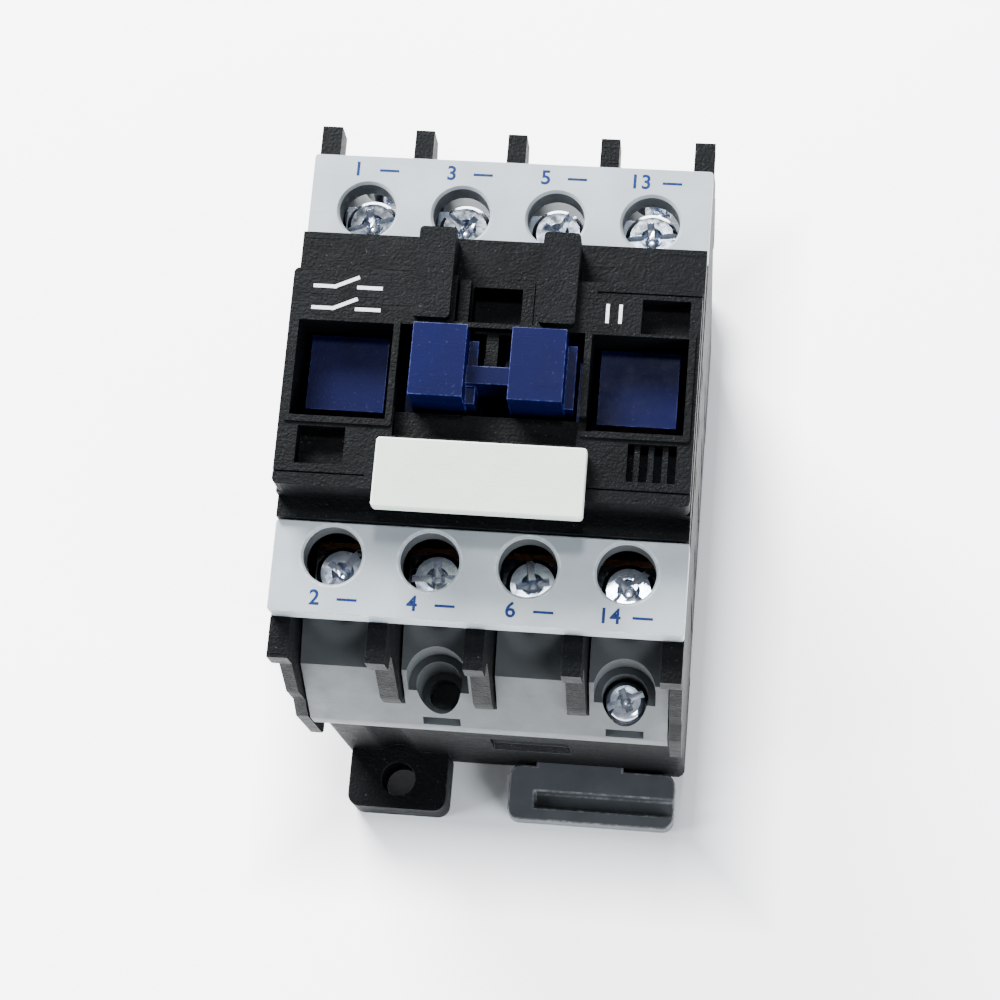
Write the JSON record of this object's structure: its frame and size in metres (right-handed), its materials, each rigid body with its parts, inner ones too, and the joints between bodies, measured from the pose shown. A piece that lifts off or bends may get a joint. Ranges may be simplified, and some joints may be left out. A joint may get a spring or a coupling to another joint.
{
  "type": "contactor",
  "caption": "Rail-mounted electromagnetic contactor with screw clamp terminals, a sprung blue contact carrier and a coil terminal block.",
  "frame": {"origin": "middle of the back plane, under the centre of the base between the two mounting lugs", "axes": "+X along the row of poles, +Y towards the line terminals, +Z from the back to the front"},
  "size_m": [0.045, 0.077, 0.08],
  "materials": {
    "black_housing": "fine textured, matte",
    "grey_cover": "satin moulded",
    "marker_white": "satin",
    "latch_grey": "satin",
    "coil_grey": "satin, glass filled",
    "carrier_blue": "satin",
    "cushion_rubber": "matte",
    "spring_steel": "drawn wire",
    "zinc_steel": "bright zinc plated",
    "lamination_steel": "ground faces",
    "copper": "rolled copper",
    "tinned_brass": "tinned"
  },
  "bodies": {
    "root": {"base_housing": "black_housing", "contact_housing": "black_housing", "front_cover": "black_housing", "line_terminal_cover": "grey_cover", "load_terminal_cover": "grey_cover", "marker_plate": "marker_white", "rail_latch_spring": "spring_steel", "housing_screws": "zinc_steel", "fixed_core": "lamination_steel", "shading_rings": "copper", "core_cushion": "cushion_rubber", "coil_bobbin": "coil_grey", "coil_winding": "copper", "return_spring": "spring_steel", "line_contact_1": "copper", "load_contact_1": "copper", "line_contact_2": "copper", "load_contact_2": "copper", "line_contact_3": "copper", "load_contact_3": "copper", "line_contact_4": "copper", "load_contact_4": "copper", "coil_terminal_1": "tinned_brass", "coil_terminal_2": "tinned_brass", "coil_terminal_3": "tinned_brass"},
    "carrier": {"contact_carrier": "carrier_blue", "armature_core": "lamination_steel", "armature_pin": "spring_steel", "contact_spring_1": "spring_steel", "contact_spring_2": "spring_steel", "contact_spring_3": "spring_steel", "contact_spring_4": "spring_steel"},
    "latch": {"rail_latch": "latch_grey"},
    "bridge_1": {"moving_contact_1": "copper"},
    "bridge_2": {"moving_contact_2": "copper"},
    "bridge_3": {"moving_contact_3": "copper"},
    "bridge_4": {"moving_contact_4": "copper"},
    "line_1_clamp": {"line_clamp_1": "zinc_steel"},
    "line_1_screw": {"line_screw_1": "zinc_steel"},
    "line_2_clamp": {"line_clamp_2": "zinc_steel"},
    "line_2_screw": {"line_screw_2": "zinc_steel"},
    "line_3_clamp": {"line_clamp_3": "zinc_steel"},
    "line_3_screw": {"line_screw_3": "zinc_steel"},
    "line_4_clamp": {"line_clamp_4": "zinc_steel"},
    "line_4_screw": {"line_screw_4": "zinc_steel"},
    "load_1_clamp": {"load_clamp_1": "zinc_steel"},
    "load_1_screw": {"load_screw_1": "zinc_steel"},
    "load_2_clamp": {"load_clamp_2": "zinc_steel"},
    "load_2_screw": {"load_screw_2": "zinc_steel"},
    "load_3_clamp": {"load_clamp_3": "zinc_steel"},
    "load_3_screw": {"load_screw_3": "zinc_steel"},
    "load_4_clamp": {"load_clamp_4": "zinc_steel"},
    "load_4_screw": {"load_screw_4": "zinc_steel"},
    "coil_1_clamp": {"coil_clamp_1": "zinc_steel"},
    "coil_1_screw": {"coil_screw_1": "zinc_steel"},
    "coil_2_clamp": {"coil_clamp_2": "zinc_steel"},
    "coil_2_screw": {"coil_screw_2": "zinc_steel"},
    "coil_3_clamp": {"coil_clamp_3": "zinc_steel"},
    "coil_3_screw": {"coil_screw_3": "zinc_steel"}
  },
  "joints": [
    {"name": "carrier_slide", "type": "slide", "parent": "root", "child": "carrier", "axis": [0, 0, -1], "range_m": [0, 0.0049], "stiffness_N_per_m": 600, "springref_m": -0.006, "deforming": ["return_spring"]},
    {"name": "bridge_1_overtravel", "type": "slide", "parent": "carrier", "child": "bridge_1", "axis": [0, 0, 1], "range_m": [0, 0.0015], "deforming": ["contact_spring_1"]},
    {"name": "bridge_2_overtravel", "type": "slide", "parent": "carrier", "child": "bridge_2", "axis": [0, 0, 1], "range_m": [0, 0.0015], "deforming": ["contact_spring_2"]},
    {"name": "bridge_3_overtravel", "type": "slide", "parent": "carrier", "child": "bridge_3", "axis": [0, 0, 1], "range_m": [0, 0.0015], "deforming": ["contact_spring_3"]},
    {"name": "bridge_4_overtravel", "type": "slide", "parent": "carrier", "child": "bridge_4", "axis": [0, 0, 1], "range_m": [0, 0.0015], "deforming": ["contact_spring_4"]},
    {"name": "rail_latch_slide", "type": "slide", "parent": "root", "child": "latch", "axis": [0, -1, 0], "range_m": [0, 0.003], "stiffness_N_per_m": 1500, "springref_m": -0.001, "deforming": ["rail_latch_spring"]},
    {"name": "line_1_clamp_lift", "type": "slide", "parent": "root", "child": "line_1_clamp", "axis": [0, 0, 1], "range_m": [-0.0036, 0]},
    {"name": "line_1_screw_turn", "type": "hinge", "parent": "line_1_clamp", "child": "line_1_screw", "pos_m": [-0.01595, 0.02, 0.06], "axis": [0, 0, 1], "range_deg": [-2162, 0]},
    {"name": "line_2_clamp_lift", "type": "slide", "parent": "root", "child": "line_2_clamp", "axis": [0, 0, 1], "range_m": [-0.0036, 0]},
    {"name": "line_2_screw_turn", "type": "hinge", "parent": "line_2_clamp", "child": "line_2_screw", "pos_m": [-0.00532, 0.02, 0.06], "axis": [0, 0, 1], "range_deg": [-2162, 0]},
    {"name": "line_3_clamp_lift", "type": "slide", "parent": "root", "child": "line_3_clamp", "axis": [0, 0, 1], "range_m": [-0.0036, 0]},
    {"name": "line_3_screw_turn", "type": "hinge", "parent": "line_3_clamp", "child": "line_3_screw", "pos_m": [0.00532, 0.02, 0.06], "axis": [0, 0, 1], "range_deg": [-2162, 0]},
    {"name": "line_4_clamp_lift", "type": "slide", "parent": "root", "child": "line_4_clamp", "axis": [0, 0, 1], "range_m": [-0.0036, 0]},
    {"name": "line_4_screw_turn", "type": "hinge", "parent": "line_4_clamp", "child": "line_4_screw", "pos_m": [0.01595, 0.02, 0.06], "axis": [0, 0, 1], "range_deg": [-2162, 0]},
    {"name": "load_1_clamp_lift", "type": "slide", "parent": "root", "child": "load_1_clamp", "axis": [0, 0, 1], "range_m": [0, 0.0036]},
    {"name": "load_1_screw_turn", "type": "hinge", "parent": "load_1_clamp", "child": "load_1_screw", "pos_m": [-0.01595, -0.02, 0.06], "axis": [0, 0, 1], "range_deg": [0, 2162]},
    {"name": "load_2_clamp_lift", "type": "slide", "parent": "root", "child": "load_2_clamp", "axis": [0, 0, 1], "range_m": [0, 0.0036]},
    {"name": "load_2_screw_turn", "type": "hinge", "parent": "load_2_clamp", "child": "load_2_screw", "pos_m": [-0.00532, -0.02, 0.06], "axis": [0, 0, 1], "range_deg": [0, 2162]},
    {"name": "load_3_clamp_lift", "type": "slide", "parent": "root", "child": "load_3_clamp", "axis": [0, 0, 1], "range_m": [0, 0.0036]},
    {"name": "load_3_screw_turn", "type": "hinge", "parent": "load_3_clamp", "child": "load_3_screw", "pos_m": [0.00532, -0.02, 0.06], "axis": [0, 0, 1], "range_deg": [0, 2162]},
    {"name": "load_4_clamp_lift", "type": "slide", "parent": "root", "child": "load_4_clamp", "axis": [0, 0, 1], "range_m": [0, 0.0036]},
    {"name": "load_4_screw_turn", "type": "hinge", "parent": "load_4_clamp", "child": "load_4_screw", "pos_m": [0.01595, -0.02, 0.06], "axis": [0, 0, 1], "range_deg": [0, 2162]},
    {"name": "coil_1_clamp_lift", "type": "slide", "parent": "root", "child": "coil_1_clamp", "axis": [0, 0, 1], "range_m": [0, 0.0018]},
    {"name": "coil_1_screw_turn", "type": "hinge", "parent": "coil_1_clamp", "child": "coil_1_screw", "pos_m": [0.01595, -0.0299, 0.06], "axis": [0, 0, 1], "range_deg": [0, 1082]},
    {"name": "coil_2_clamp_lift", "type": "slide", "parent": "root", "child": "coil_2_clamp", "axis": [0, 0, 1], "range_m": [0, 0.0018]},
    {"name": "coil_2_screw_turn", "type": "hinge", "parent": "coil_2_clamp", "child": "coil_2_screw", "pos_m": [-0.01595, 0.0299, 0.06], "axis": [0, 0, 1], "range_deg": [0, 1082]},
    {"name": "coil_3_clamp_lift", "type": "slide", "parent": "root", "child": "coil_3_clamp", "axis": [0, 0, 1], "range_m": [0, 0.0018]},
    {"name": "coil_3_screw_turn", "type": "hinge", "parent": "coil_3_clamp", "child": "coil_3_screw", "pos_m": [0.01595, 0.0299, 0.06], "axis": [0, 0, 1], "range_deg": [0, 1082]}
  ],
  "couplings": [
    {"joint": "bridge_1_overtravel", "follows": "carrier_slide", "ratio": 0.28571},
    {"joint": "bridge_2_overtravel", "follows": "carrier_slide", "ratio": 0.28571},
    {"joint": "bridge_3_overtravel", "follows": "carrier_slide", "ratio": 0.28571},
    {"joint": "bridge_4_overtravel", "follows": "carrier_slide", "ratio": 0.28571},
    {"joint": "line_1_screw_turn", "follows": "line_1_clamp_lift", "rad_per_m": 10472},
    {"joint": "line_2_screw_turn", "follows": "line_2_clamp_lift", "rad_per_m": 10472},
    {"joint": "line_3_screw_turn", "follows": "line_3_clamp_lift", "rad_per_m": 10472},
    {"joint": "line_4_screw_turn", "follows": "line_4_clamp_lift", "rad_per_m": 10472},
    {"joint": "load_1_screw_turn", "follows": "load_1_clamp_lift", "rad_per_m": 10472},
    {"joint": "load_2_screw_turn", "follows": "load_2_clamp_lift", "rad_per_m": 10472},
    {"joint": "load_3_screw_turn", "follows": "load_3_clamp_lift", "rad_per_m": 10472},
    {"joint": "load_4_screw_turn", "follows": "load_4_clamp_lift", "rad_per_m": 10472},
    {"joint": "coil_1_screw_turn", "follows": "coil_1_clamp_lift", "rad_per_m": 10472},
    {"joint": "coil_2_screw_turn", "follows": "coil_2_clamp_lift", "rad_per_m": 10472},
    {"joint": "coil_3_screw_turn", "follows": "coil_3_clamp_lift", "rad_per_m": 10472}
  ]
}
